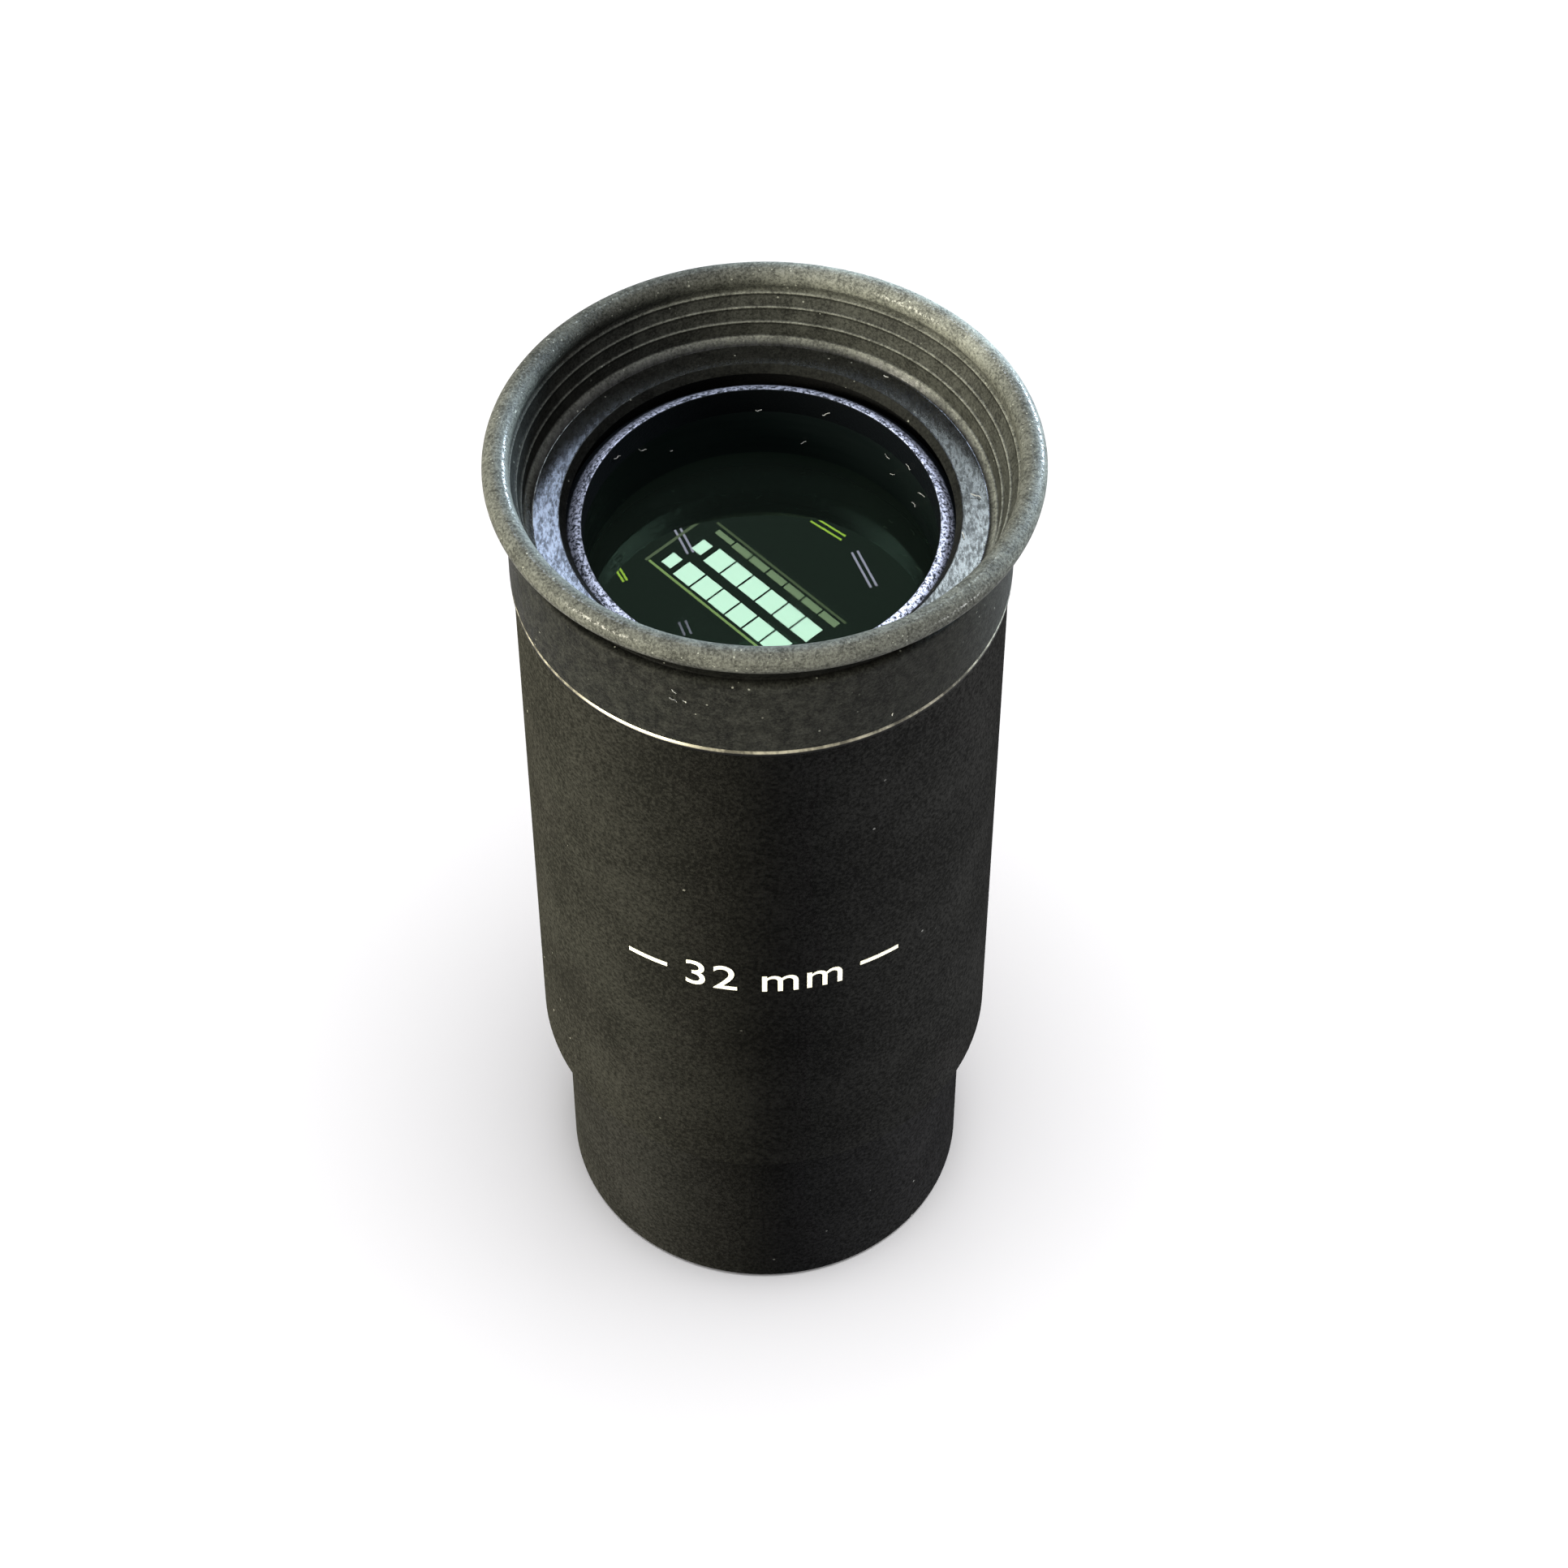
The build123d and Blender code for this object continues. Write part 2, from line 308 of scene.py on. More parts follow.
def rubber(name):
    """Dusty satin rubber. The mesh says how pale each part is; the flat floor inside is rubbed glossy.

    The rolled lip's coat glints in its grain, and pale specks on the lip are painted glints. The lip is paler
    towards one place round the axis and darker towards another. The inner wall has painted shade, darker
    towards -X.
    """
    s = Shader(name, Specular_IOR_Level=0.03, Coat_Roughness=0.21)
    s.place = s.attribute("rest_place", "Vector")
    grain = s.noise(0.20, 3.0, 0.75)
    mottle = s.noise(1.3, 5.0, 0.7, (1.0, 1.0, 0.6))
    tone = s.math("ADD", s.math("MULTIPLY", grain, 0.65), s.math("MULTIPLY", mottle, 0.35))
    shade = s.math("MULTIPLY", s.attribute("paleness", "Fac"), s.spread(tone, 0.40, 0.60, 0.45, 1.55))
    inside = s.math("MULTIPLY", s.spread(s.axis("Z"), 80.5, 80.2), s.spread(s.radius(), 17.75, 17.6))
    # Painted shade: the inner wall is darker towards -X.
    left_wall_painted_shade = s.math("MULTIPLY", inside, s.spread(s.axis("X"), -7.0, -15.0))
    shade = s.math("MULTIPLY", shade, s.spread(left_wall_painted_shade, 0.0, 1.0, 1.0, 0.40))
    collar = s.math("MULTIPLY", s.spread(s.axis("Z"), 78.4, 78.0), s.math("SUBTRACT", 1.0, inside))
    blotch = s.math("MULTIPLY", collar, s.spread(s.noise(0.7, 3.0, 0.7), 0.38, 0.62, -0.33, 0.33))
    shade = s.math("MULTIPLY", shade, s.math("ADD", blotch, 1.0))
    # The rolled lip is paler towards one place round the axis and darker towards another.
    lip_paler = s.spread(s.toward(LIP_PALEST), 0.80, 0.96, 0.0, 0.85)
    lip_darker = s.spread(s.toward(LIP_DARKEST), 0.80, 0.96, 0.0, 0.4)
    lip_paleness_by_side = s.math("SUBTRACT", lip_paler, lip_darker)
    rolled = s.spread(s.axis("Z"), 80.3, 80.6)
    shade = s.math("MULTIPLY", shade, s.math("ADD", s.math("MULTIPLY", rolled, lip_paleness_by_side), 1.0))
    lint = s.math("MULTIPLY", s.specks(0.9, 0.09), s.spread(s.noise(3.0), 0.50, 0.58))
    shade = s.math("ADD", shade, s.math("MULTIPLY", lint, 0.10))
    # Painted glints: sparse pale specks on the rolled lip.
    painted_glints = s.math("MULTIPLY", s.specks(0.42, 0.13), s.spread(s.noise(1.6), 0.45, 0.62))
    shade = s.math("ADD", shade, s.math("MULTIPLY", s.math("MULTIPLY", painted_glints, rolled), 0.13))
    s.feed("Base Color", s.mix(shade, (0.0, 0.0, 0.0), (0.98, 1.0, 0.86)))
    s.feed("Roughness", s.spread(mottle, 0.3, 0.7, 0.48, 0.66))
    ring = s.math("MULTIPLY", s.spread(s.radius(), 16.8, 16.5), s.spread(s.radius(), 14.05, 14.2))
    level = s.math("MULTIPLY", s.spread(s.axis("Z"), 76.45, 76.25), s.spread(s.axis("Z"), 75.6, 75.75))
    floor = s.math("MULTIPLY", level, ring)
    scuffs = s.spread(s.noise(0.25, 3.0, 0.75, (1.0, 0.35, 0.35)), 0.40, 0.58, 0.30, 1.0)
    lip = s.math("MULTIPLY", s.spread(s.axis("Z"), 80.6, 81.0), s.spread(grain, 0.48, 0.62, 0.0, 0.25))
    s.feed("Coat Weight", s.math("ADD", s.math("MULTIPLY", floor, scuffs), lip))
    s.bump(tone, 0.09, 0.8)
    return s.material


def blasted_ring(name):
    """Grey anodising over a blasted face: a sparkling grain, with painted light and painted shade round the
    ring.

    The bore is black; the outer slope, in the gap by the rubber floor, is painted black as shade.
    """
    s = Shader(name, Specular_IOR_Level=0.03)
    grain = s.noise(0.22, 3.0, 0.75)
    # Painted light and shade: the ring is paler towards +X and darker towards +Y.
    pale = s.spread(s.toward(BEZEL_PAINTED_LIGHT), -1.0, 1.0, 0.58, 1.0)
    painted_light_and_shade = s.math("MULTIPLY", pale, s.spread(s.toward(BEZEL_PAINTED_SHADE), 0.5, 1.0, 1.0, 0.55))
    sparkle = s.math("MULTIPLY", s.spread(grain, 0.43, 0.57), painted_light_and_shade)
    colour = s.mix(sparkle, (0.010, 0.012, 0.016), (0.28, 0.30, 0.38))
    inner = s.spread(s.radius(), BEZEL_BORE_R + 0.06, BEZEL_BORE_R + 0.02)
    # Painted shade: the outer slope is black, as the gap by the rubber floor is in shadow.
    outer = s.spread(s.radius(), 13.40, 13.62)
    black = s.math("MAXIMUM", inner, outer)
    s.feed("Base Color", s.mix(black, colour, (0.002, 0.0025, 0.003)))
    s.feed("Metallic", s.math("MULTIPLY", s.math("SUBTRACT", 1.0, black), 0.45))
    s.feed("Roughness", s.spread(grain, 0.3, 0.7, 0.34, 0.55))
    s.bump(grain, 0.06, 0.8)
    return s.material


def worn_cap(name):
    """Black anodising, rubbed through to the metal along the flange's upper edge, most of all at one place,
    where it is partly a painted highlight. The black is made extra dark as painted shade for the gap under
    the rubber.
    """
    s = Shader(name, Specular_IOR_Level=0.06)
    outermost = s.math("GREATER_THAN", s.radius(), BODY_R - 0.25)
    edge = s.math("MULTIPLY", outermost, s.spread(s.axis("Z"), 70.82, 70.95))
    turned_to = s.math("ARCTAN2", s.axis("X"), s.math("MULTIPLY", s.axis("Y"), -1.0))
    apart = s.math("ABSOLUTE", s.math("ADD", turned_to, -math.radians(FLANGE_PAINTED_HIGHLIGHT)))
    # Painted highlight: near that place the whole edge shows metal, where light falls on it.
    painted_highlight = s.spread(apart, math.radians(20), math.radians(7))
    wear = s.spread(s.noise(1.3, 3.0, 0.7, (1, 1, 0.2)), 0.40, 0.62, 0.12, 0.5)
    bare_and_highlight = s.math("MULTIPLY", edge, s.math("MAXIMUM", painted_highlight, wear))
    grain = s.noise(0.15)
    # The cap's own black, made extra dark as painted shade for the gap under the rubber floor.
    black = s.mix(grain, (0.0010, 0.0010, 0.0010), (0.0030, 0.0030, 0.0029))
    metal = s.mix(grain, (0.40, 0.37, 0.28), (0.66, 0.62, 0.50))
    s.feed("Base Color", s.mix(bare_and_highlight, black, metal))
    s.feed("Metallic", s.math("MULTIPLY", bare_and_highlight, 0.6))
    s.feed("Roughness", s.spread(grain, 0.3, 0.7, 0.40, 0.6))
    s.bump(grain, 0.03, 0.4)
    return s.material


def gloss_black(name):
    """Polished black anodising with faint turning marks."""
    s = Shader(name, Specular_IOR_Level=0.08)
    turning = s.noise(0.5, 2.0, 0.5, (0.1, 0.1, 1.0))
    s.feed("Base Color", s.mix(turning, (0.002, 0.0035, 0.0035), (0.005, 0.0075, 0.0075)))
    s.feed("Roughness", s.spread(turning, 0.3, 0.7, 0.30, 0.42))
    s.bump(turning, 0.01, 0.08)
    return s.material


def dead_black(name):
    """Flat black on the inner rings, with turning marks."""
    s = Shader(name, Specular_IOR_Level=0.15)
    turning = s.noise(0.4, 2.0, 0.5, (1.0, 1.0, 4.0))
    s.feed("Base Color", s.mix(s.spread(turning, 0.3, 0.7), (0.006, 0.006, 0.006), (0.020, 0.020, 0.020)))
    s.feed("Roughness", s.spread(turning, 0.3, 0.7, 0.55, 0.75))
    s.bump(turning, 0.02, 0.5)
    return s.material


def coated_glass(name, ior, tint, reflection):
    """Clear polished glass with a coloured anti-reflection coating and a blackened rim."""
    s = Shader(name, IOR=ior, Specular_Tint=(*reflection, 1.0))
    rim = s.spread(s.radius(), LENS_R - 0.06, LENS_R - 0.03)
    haze = s.spread(s.noise(4.0, 4.0), 0.35, 0.75, 0.0, 0.012)
    clear = s.mix(s.noise(9.0), tint, tuple(0.97 * c for c in tint))
    s.feed("Base Color", s.mix(rim, clear, (0.006, 0.006, 0.006)))
    s.feed("Transmission Weight", s.math("MULTIPLY", s.math("SUBTRACT", 1.0, rim), 0.94))
    s.feed("Roughness", s.math("ADD", haze, s.math("MULTIPLY", rim, 0.5)))
    return s.material


def white_print(name):
    """Slightly uneven white ink."""
    s = Shader(name, Specular_IOR_Level=0.3)
    ink = s.noise(0.25, 3.0, 0.6)
    s.feed("Base Color", s.mix(s.spread(ink, 0.3, 0.7), (0.56, 0.54, 0.42), (0.78, 0.76, 0.62)))
    s.feed("Roughness", s.spread(ink, 0.3, 0.7, 0.45, 0.6))
    return s.material


def pale_lint(name):
    """Whitish dust fibres."""
    s = Shader(name, Specular_IOR_Level=0.2)
    shade = s.noise(0.3)
    s.feed("Base Color", s.mix(shade, (0.16, 0.16, 0.15), (0.52, 0.52, 0.49)))
    s.feed("Roughness", s.spread(shade, 0.3, 0.7, 0.6, 0.8))
    return s.material


def pale_floor(name):
    """Plain off-white, barely mottled."""
    s = Shader(name, Specular_IOR_Level=0.1)
    s.feed("Base Color", s.mix(s.noise(60.0), (0.94, 0.925, 0.91), (0.96, 0.945, 0.93)))
    s.feed("Roughness", s.spread(s.noise(5.0), 0.3, 0.7, 0.8, 0.9))
    return s.material


# ---- the pieces ----

def dress_nodes():
    """Gives each CAD node that stays its material and smooth shading over its round faces."""
    body = black_coating("body_matt_black", (0.0024, 0.0024, 0.0023), (0.0071, 0.0071, 0.0067), 0.30)
    nosepiece = black_coating("nosepiece_matt_black", (0.0021,) * 3, (0.0060,) * 3, 0.30, inner_ribs=True)
    dead = dead_black("inner_dead_black")
    looks = {
        "body_tube": body,
        "nosepiece_barrel": nosepiece,
        "field_stop_ring": dead,
        "lens_retaining_ring": dead,
        "doublet_spacer": dead,
        "eye_end_cap": worn_cap("cap_worn_black"),
        "lens_cell": gloss_black("cell_gloss_black"),
        "eye_bezel_ring": blasted_ring("bezel_blasted_grey"),
        "eye_flint_lens": coated_glass("eye_glass", 1.62, (0.06, 0.09, 0.07), (0.52, 1.0, 0.68)),
        "eye_crown_lens": coated_glass("crown_glass", 1.52, (0.3, 0.36, 0.32), (0.9, 0.9, 1.0)),
        "field_crown_lens": coated_glass("field_crown_glass", 1.52, (0.3, 0.36, 0.32), (0.9, 0.9, 1.0)),
        "field_flint_lens": coated_glass("field_glass", 1.62, (0.3, 0.36, 0.32), (1.0, 0.5, 0.55)),
    }
    for node, material in looks.items():
        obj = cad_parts[node]
        for slot in obj.material_slots:
            slot.material = material
        mesh = obj.data
        mesh.shade_smooth()
        mesh.set_sharp_from_angle(angle=math.radians(25))


def eyecup_outline():
    """Section of the whole eyecup: collar outside, horn, rolled lip, ledges inside, floor and socket."""
    outer, inner, floor_tone, unseen_and_groove_shade = 0.0100, 0.023, 0.0075, 0.003
    # The ledge tone is a painted highlight along each ledge's edge; the undercut tone is painted shade below
    # it.
    ledge, undercut_painted_shade = 0.085, 0.007
    bottom = FLANGE_TOP + RUBBER_GAP
    floor_under = NECK_TOP + RUBBER_GAP
    corners = [
        (16.06, bottom, 0.08, unseen_and_groove_shade),
        (17.82, bottom, 0.16, outer),
        (17.82, 77.90, 0.42, outer),
        # Painted shade: the groove under the lip takes the darkest tone.
        (17.10, 77.95, 0.12, unseen_and_groove_shade),
        (17.20, 78.55, 0.5, unseen_and_groove_shade),
        (17.75, 79.45, 0.6, outer),
        (18.12, 80.10, 0.2, outer),
        (18.3, 80.6, 0.0, outer),
        (17.73, 80.36, 0.03, 0.5 * ledge),
    ]
    ledges = []
    for r, z in ((17.55, 80.27), (17.06, 79.09), (16.66, 77.77), (16.42, 76.36)):
        ledges += [
            (r + 0.17, z + 0.07, 0.04, inner),
            (r, z + 0.03, 0.05, ledge),
            (r - 0.01, z - 0.10, 0.0, undercut_painted_shade),
            (r - 0.03, z - 0.34, 0.0, inner),
        ]
    # The lip takes the place of the first ledge's root, and the floor of what is below the last ledge.
    corners += ledges[1:-2]
    corners += [
        (15.98, 75.90, 0.18, floor_tone),
        (14.06, 76.04, 0.10, floor_tone),
        (13.61, 75.42, 0.05, 0.008),
        (13.90, floor_under, 0.03, unseen_and_groove_shade),
        (16.06, floor_under, 0.05, unseen_and_groove_shade),
    ]
    outline = rounded(corners)
    seat = outline.index((18.3, 80.6, outer))
    # The rolled lip's paleness is partly dust and partly painted sheen.
    bead = arc((18.55, 81.22), 0.93, -58, 212, (0.018, 0.050, 0.058, 0.048, 0.030), 30)
    return outline[:seat] + bead + outline[seat + 1:]


def askew(point):
    """The soft horn sits a little askew on its collar: higher towards -Y and drawn towards +X."""
    share = smoothstep(76.2, 81.2, point.z)
    tilt = math.tan(math.radians(2.0))
    return Vector((point.x + 0.28 * share, point.y, point.z - tilt * point.y * share - 0.05 * share))


def eyecup():
    """The one rubber moulding, from its collar to its lip, its horn set a little askew."""
    cup = lathe("rubber_eyecup", eyecup_outline(), rubber("eyecup_rubber"), askew)
    cup.data.set_sharp_from_angle(angle=math.radians(50))
    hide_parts("eyecup_collar", "eyecup_horn")
    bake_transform(cup)


def helix_thread(name, inner_r, outer_r, bottom, top, pitch, material, into_bore):
    """A screw thread's ridge: a triangular section wound round the axis, its base sunk in the wall."""
    per_turn = 96
    turns = (top - bottom) / pitch
    steps = int(per_turn * turns)
    base_r, crest_r = (outer_r, inner_r) if into_bore else (inner_r, outer_r)
    bm = bmesh.new()
    rows = []
    for i in range(steps + 1):
        a = 2 * math.pi * i / per_turn
        z = bottom + pitch * i / per_turn
        fade = min(1.0, i / 24, (steps - i) / 24)
        crest = base_r + (crest_r - base_r) * max(0.05, fade)
        row = []
        for r, rise in ((base_r, -0.44), (crest, -0.07), (crest, 0.07), (base_r, 0.44)):
            row.append(bm.verts.new(Vector((r * math.cos(a), r * math.sin(a), z + rise * pitch)) * MM))
        rows.append(row)
    for this, other in zip(rows, rows[1:]):
        for i in range(4):
            j = (i + 1) % 4
            bm.faces.new((this[i], this[j], other[j], other[i]))
    bm.faces.new(rows[0])
    bm.faces.new(reversed(rows[-1]))
    bmesh.ops.recalc_face_normals(bm, faces=bm.faces)
    mesh = bpy.data.meshes.new(name)
    bm.to_mesh(mesh)
    bm.free()
    thread = new_object(name, mesh, material)
    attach(thread, "nosepiece")


def threads():
    """The ridges of the filter thread in the nosepiece's mouth and of the screw that joins it to the body."""
    cut = black_coating("thread_black", (0.010, 0.010, 0.010), (0.026, 0.026, 0.026), 0.16)
    helix_thread("filter_thread", 13.95, 14.27, 0.75, 4.35, 0.6, cut, True)
    helix_thread("spigot_thread", 14.68, 14.97, 21.2, 24.2, 1.0, cut, False)


def wrap_round(bm, radius, thickness):
    """Bends a flat shape that lies in X and Z round the body's front, with depth along Y."""
    for v in bm.verts:
        a = v.co.x / radius
        r = radius + (thickness if v.co.y > 0 else -0.01)
        v.co = Vector((r * math.sin(a), -r * math.cos(a), v.co.z)) * MM


def marking():
    """The printed focal length and a short rule on each side of it, as raised ink on the tube."""
    size = 4.1
    baseline = 42.75
    curve = bpy.data.curves.new("focal_length_text", "FONT")
    curve.body = "32 mm"
    curve.size = size
    curve.align_x = "CENTER"
    curve.space_character = 1.08
    text = bpy.data.objects.new("focal_length_text", curve)
    bpy.context.scene.collection.objects.link(text)
    bpy.context.view_layer.update()
    flat = bpy.data.meshes.new_from_object(text.evaluated_get(bpy.context.evaluated_depsgraph_get()))
    bpy.data.objects.remove(text)
    bm = bmesh.new()
    bm.from_mesh(flat)
    for side in (-1, 1):
        rule(bm, side * 8.9, 3.2, 0.42, size * 0.34)
    sliced = [i * 0.35 for i in range(-34, 35)]
    for x in sliced:
        everything = bm.verts[:] + bm.edges[:] + bm.faces[:]
        bmesh.ops.bisect_plane(bm, geom=everything, plane_co=(x, 0, 0), plane_no=(1, 0, 0))
    for v in bm.verts:
        v.co = Vector((v.co.x, 0, v.co.y + baseline))
    made = bmesh.ops.extrude_face_region(bm, geom=bm.faces[:])
    for item in made["geom"]:
        if isinstance(item, bmesh.types.BMVert):
            item.co.y = 1.0
    wrap_round(bm, BODY_R, 0.025)
    bmesh.ops.recalc_face_normals(bm, faces=bm.faces)
    mesh = bpy.data.meshes.new("printed_marking")
    bm.to_mesh(mesh)
    bm.free()
    printed = new_object("printed_marking", mesh, white_print("marking_white"))
    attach(printed, "housing")


def rule(bm, middle, length, thickness, height):
    """A flat bar beside the text, in the text's own plane."""
    left, right = middle - length / 2, middle + length / 2
    low, high = height - thickness / 2, height + thickness / 2
    corners = [bm.verts.new((x, y, 0)) for x, y in ((left, low), (right, low), (right, high), (left, high))]
    bm.faces.new(corners)


def fibre(bm, start, heading, length, lift):
    """One curled thread of dust: a thin three-sided tube that wanders from its start."""
    point = Vector(start)
    heading = Vector(heading).normalized()
    rows = []
    for _ in range(7):
        heading = (heading + 0.5 * Vector([random.uniform(-1, 1) for _ in range(3)])).normalized()
        side = heading.cross(lift).normalized()
        other = side.cross(heading)
        thin = 0.036
        corners = (side, -0.5 * side + 0.87 * other, -0.5 * side - 0.87 * other)
        rows.append([bm.verts.new((point + thin * c) * MM) for c in corners])
        point = point + heading * length / 6
    for this, following in zip(rows, rows[1:]):
        for i in range(3):
            j = (i + 1) % 3
            bm.faces.new((this[i], this[j], following[j], following[i]))
    bm.faces.new(rows[0])
    bm.faces.new(rows[-1])


def lint(name, places):
    """Fibres at (azimuth in degrees from -Y towards +X, radius, height) places, as one piece."""
    bm = bmesh.new()
    for azimuth, r, z in places:
        a = math.radians(azimuth)
        out = Vector((math.sin(a), -math.cos(a), 0))
        along = Vector((math.cos(a), math.sin(a), random.uniform(-0.8, 0.8)))
        fibre(bm, out * r + Vector((0, 0, z)), along, random.uniform(0.35, 0.9), out)
    bmesh.ops.recalc_face_normals(bm, faces=bm.faces)
    mesh = bpy.data.meshes.new(name)
    bm.to_mesh(mesh)
    bm.free()
    return new_object(name, mesh, pale_lint(name + "_pale"))


def dust():
    """Stray fibres on the bore above the eye lens and on the rubber."""
    on_bore = [(random.uniform(120, 240), 12.46, random.uniform(70.0, 74.0)) for _ in range(9)]
    on_bore += [(random.uniform(60, 120), 12.46, random.uniform(69.0, 73.0)) for _ in range(3)]
    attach(lint("bore_lint", on_bore), "housing")
    on_rubber = [(random.uniform(0, 360), 17.90, random.uniform(72.0, 77.0)) for _ in range(7)]
    on_rubber += [(random.uniform(0, 360), random.uniform(14.3, 15.6), 76.08) for _ in range(8)]
    cup_lint = lint("eyecup_lint", on_rubber)
    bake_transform(cup_lint)


# ---- stage, light and camera ----

def floor():
    half = 3.0
    mesh = bpy.data.meshes.new("floor")
    corners = [(-half, -half, 0), (half, -half, 0), (half, half, 0), (-half, half, 0)]
    mesh.from_pydata(corners, [], [(0, 1, 2, 3)])
    plane = new_object("floor", mesh, pale_floor("floor_pale"))
    plane.location.z = -0.02 * MM
    return plane


def area_light(name, place, target, size, power, colour):
    data = bpy.data.lights.new(name, "AREA")
    data.shape = "RECTANGLE"
    data.size, data.size_y = size
    data.energy = power
    data.color = colour
    obj = bpy.data.objects.new(name, data)
    bpy.context.scene.collection.objects.link(obj)
    obj.location = place
    obj.rotation_mode = "QUATERNION"
    obj.rotation_quaternion = (Vector(target) - Vector(place)).to_track_quat("-Z", "Y")
    return obj


def tube_lamp():
    """A small louvred two-tube lamp, hung behind the object, whose picture shows in the eye lens."""
    start = Vector((-16.4, 310.9, LAMP_HEIGHT)) * MM
    end = Vector((3.1, 290.3, LAMP_HEIGHT)) * MM
    along = (end - start).normalized()
    across = Vector((-along.y, along.x, 0))
    turn = math.atan2(along.y, along.x)
    pitch = 4.6 * MM
    glow, frame_glow, edge_glow = (1.0, 0.90, 0.97), (1.0, 0.85, 0.65), (1.0, 0.9, 0.4)
    rows = (
        (0.0, 0.0, 4.2, 16.0, glow),
        (6.2, 1.5, 4.2, 16.0, glow),
        (10.9, 2.6, 1.5, 4.0, frame_glow),
    )
    for row, (offset, shift, width, radiance, colour) in enumerate(rows):
        for cell in range(7):
            middle = start + along * (cell * pitch + shift * MM) + across * offset * MM
            length = 4.2 if cell or row == 2 else 2.4
            size = (length * MM, (width if cell else 0.75 * width) * MM)
            flat_light(f"tube_{row}_{cell}", middle, turn, size, radiance, colour)
    frame_parts = (
        ("frame_left", 14, -3.0, (34, 0.5), 5.0, edge_glow),
        ("frame_right", 16, 12.4, (34, 0.5), 1.5, (1.0, 0.8, 0.55)),
        ("frame_end", -3.5, 4.6, (0.6, 16), 2.0, (1.0, 0.8, 0.6)),
    )
    for name, forward, aside, (length, width), radiance, colour in frame_parts:
        middle = start + along * forward * MM + across * aside * MM
        flat_light(name, middle, turn, (length * MM, width * MM), radiance, colour)


def faint_lamps():
    """Pairs of dim strips, as far lamps show in a stack of coated lenses."""
    grey, lime = (0.96, 0.56, 1.0), (0.9, 0.88, 0.12)
    pairs = (
        (-15.4, 318.5, 12.6, -67.5, 1.10, 8.0, grey),
        (18.9, 308.5, 9.2, -68.5, 1.13, 8.0, grey),
        (-13.9, 294.6, 3.3, -71.5, 1.25, 4.0, grey),
        (12.4, 318.5, 7.4, -40.0, 1.20, 8.0, lime),
        (-25.9, 308.0, 4.5, -64.0, 0.75, 8.0, lime),
    )
    for pair, (x, y, length, degrees, gap, radiance, colour) in enumerate(pairs):
        turn = math.radians(degrees)
        across = Vector((-math.sin(turn), math.cos(turn), 0)) * gap / 2
        for side in (-1, 1):
            middle = (Vector((x, y, LAMP_HEIGHT)) + side * across) * MM
            flat_light(f"strip_{pair}_{side}", middle, turn, (length * MM, 0.42 * MM), radiance, colour)


def flat_light(name, middle, turn, size, radiance, colour):
    """A small rectangle of light that faces down, turned about Z."""
    power = radiance * size[0] * size[1] * math.pi
    lamp = area_light(name, middle, middle - Vector((0, 0, 1)), size, power, colour)
    lamp.rotation_mode = "XYZ"
    lamp.rotation_euler = (0, 0, turn)
    lamp.visible_camera = False


def studio_world():
    """Even pale light from all round, with a darker patch high behind, where the eye lens mirrors it."""
    world = bpy.data.worlds.new("studio")
    world.use_nodes = True
    bpy.context.scene.world = world
    tree = world.node_tree
    sky = tree.nodes["Background"]
    sky.inputs["Color"].default_value = (0.985, 0.985, 1.0, 1.0)
    direction = tree.nodes.new("ShaderNodeTexCoord")
    likeness = tree.nodes.new("ShaderNodeVectorMath")
    likeness.operation = "DOT_PRODUCT"
    likeness.inputs[1].default_value = Vector((0, 0.64, 0.77)).normalized()
    tree.links.new(direction.outputs["Generated"], likeness.inputs[0])
    shade = tree.nodes.new("ShaderNodeMapRange")
    shade.interpolation_type = "SMOOTHSTEP"
    shade.inputs["From Min"].default_value = 0.80
    shade.inputs["From Max"].default_value = 0.97
    shade.inputs["To Min"].default_value = 0.62
    shade.inputs["To Max"].default_value = 0.21
    tree.links.new(likeness.outputs["Value"], shade.inputs["Value"])
    tree.links.new(shade.outputs["Result"], sky.inputs["Strength"])


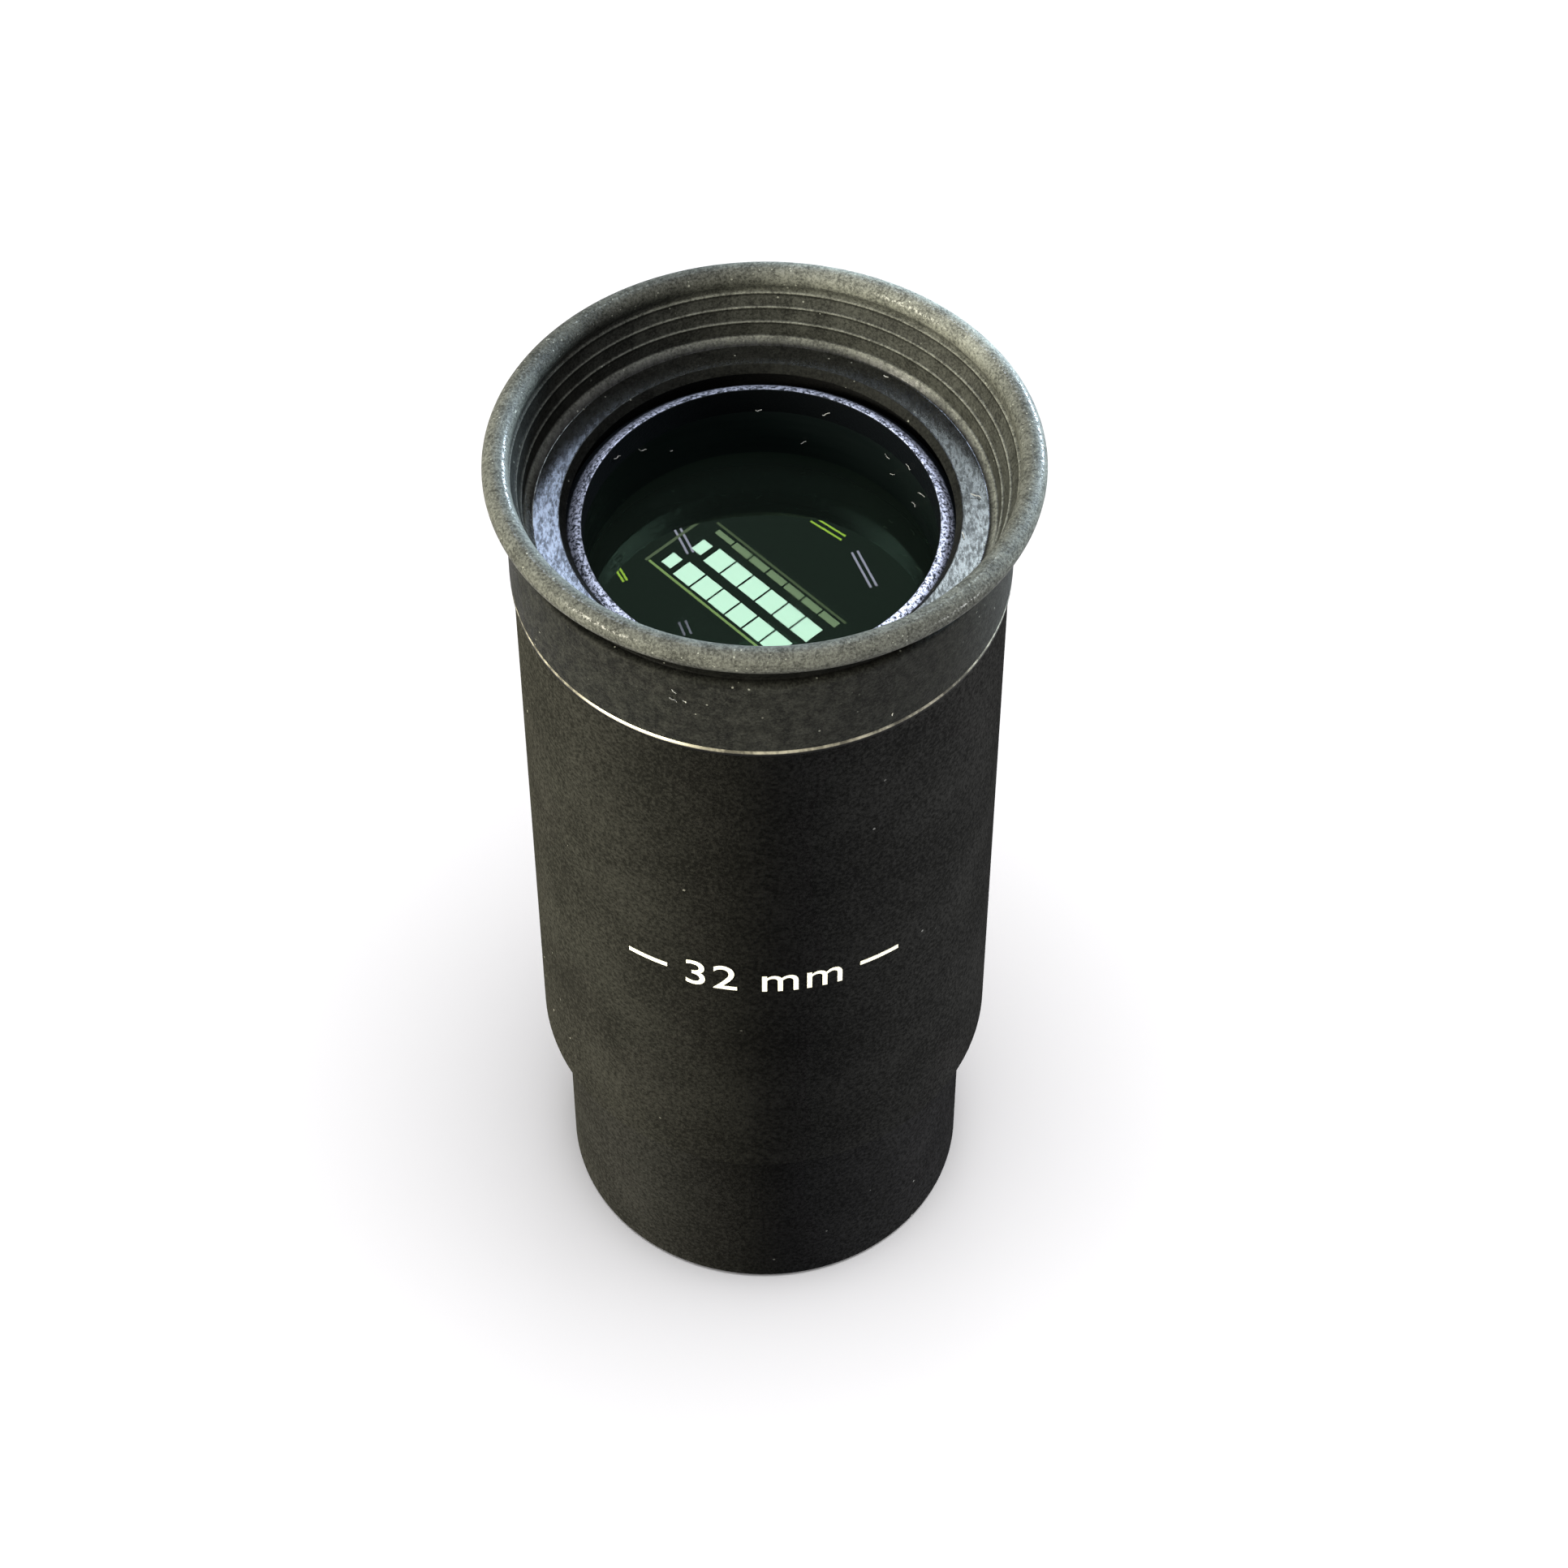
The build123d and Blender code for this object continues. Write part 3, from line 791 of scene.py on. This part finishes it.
def lights(stage):
    """A plain overhead light, then lights that each fall on one group of pieces only."""
    studio_world()
    centre = (0, 0, 0.05)
    overhead = area_light("overhead", (0.05, -0.05, 1.1), centre, (0.7, 0.7), 10.0, (0.95, 0.96, 1.0))
    overhead.visible_glossy = False
    tube = [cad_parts["body_tube"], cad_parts["nosepiece_barrel"]]
    meshes = [obj for obj in bpy.context.scene.objects if obj.type == "MESH"]
    others = [obj for obj in meshes if obj not in tube and obj != stage]
    shine_on("tube", tube, (
        area_light("left_wash", (-0.498, -0.044, 0.045), centre, (0.12, 0.10), 41.0, (1.0, 0.95, 0.72)),
        area_light("right_wash", (0.498, -0.044, 0.045), centre, (0.12, 0.10), 14.5, (0.98, 0.98, 1.0)),
    ))
    shine_on("others", others, (
        area_light("left_key", (-0.78, -0.42, 0.34), centre, (0.40, 0.40), 34.0, (1.0, 0.96, 0.79)),
        area_light("right_rim", (0.50, 0.60, 0.17), centre, (0.25, 0.14), 43.0, (0.68, 0.85, 1.0)),
        area_light("right_fill", (0.47, -0.17, 0.05), centre, (0.14, 0.10), 3.0, (0.98, 1.0, 0.98)),
    ))
    shine_on("eyecup", [bpy.data.objects["rubber_eyecup"]], (
        area_light("back_left", (-0.143, 0.573, 0.84), centre, (0.13, 0.17), 3.5, (0.59, 0.73, 1.0)),
        area_light("back_right", (0.143, 0.573, 0.84), centre, (0.13, 0.17), 2.6, (0.81, 0.94, 1.0)),
    ))
    shine_on("ring", [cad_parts["eye_bezel_ring"]], (
        area_light("ring_left", (-0.56, 0.15, 0.86), centre, (0.20, 0.20), 20.0, (0.92, 0.95, 1.0)),
        area_light("ring_right", (0.56, 0.15, 0.86), centre, (0.20, 0.20), 26.0, (0.92, 0.95, 1.0)),
    ))
    tube_lamp()
    faint_lamps()


def shine_on(name, objects, lights):
    """Makes these lights fall on these objects only."""
    group = bpy.data.collections.new("lit_" + name)
    for obj in objects:
        group.objects.link(obj)
    for light in lights:
        light.light_linking.receiver_collection = group


def camera():
    data = bpy.data.cameras.new("camera")
    data.sensor_width = 36.0
    data.lens = CAMERA_LENS
    obj = bpy.data.objects.new("camera", data)
    bpy.context.scene.collection.objects.link(obj)
    obj.location = Vector((0, -CAMERA_BACK, CAMERA_UP)) * MM
    obj.rotation_euler = (math.radians(90 - CAMERA_PITCH), 0, -math.radians(CAMERA_YAW))
    data.clip_start = 0.01
    bpy.context.scene.camera = obj


camera()
dress_nodes()
eyecup()
threads()
marking()
dust()
lights(floor())
bpy.context.scene.view_settings.view_transform = "Standard"
